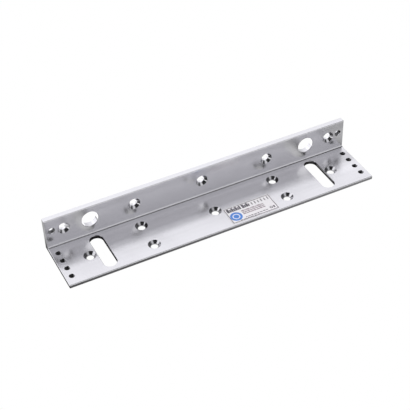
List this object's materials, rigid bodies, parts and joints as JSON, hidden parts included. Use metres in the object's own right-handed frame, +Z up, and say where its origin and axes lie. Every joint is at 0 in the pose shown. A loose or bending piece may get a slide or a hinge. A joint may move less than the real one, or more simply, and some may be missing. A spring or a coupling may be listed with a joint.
{
  "type": "magnetic door lock mounting bracket",
  "caption": "L-shaped aluminium mounting bracket for a surface magnetic door lock, with slots, countersunk, plain and tapped holes and a rating label.",
  "frame": {"origin": "middle of the underside: under the centre of the bracket's box, on the plane that the seat leg rests on", "axes": "+X along the length, to the right seen from the open side; +Y from the front edge towards the back leg; +Z up out of the seat"},
  "size_m": [0.25, 0.048, 0.028],
  "materials": {
    "anodised_aluminium": "clear satin anodised extrusion",
    "label_film": "semi-gloss white label film",
    "label_ink": "printed ink"
  },
  "bodies": {
    "root": {"bracket": "anodised_aluminium", "label": "label_film"}
  },
  "joints": []
}
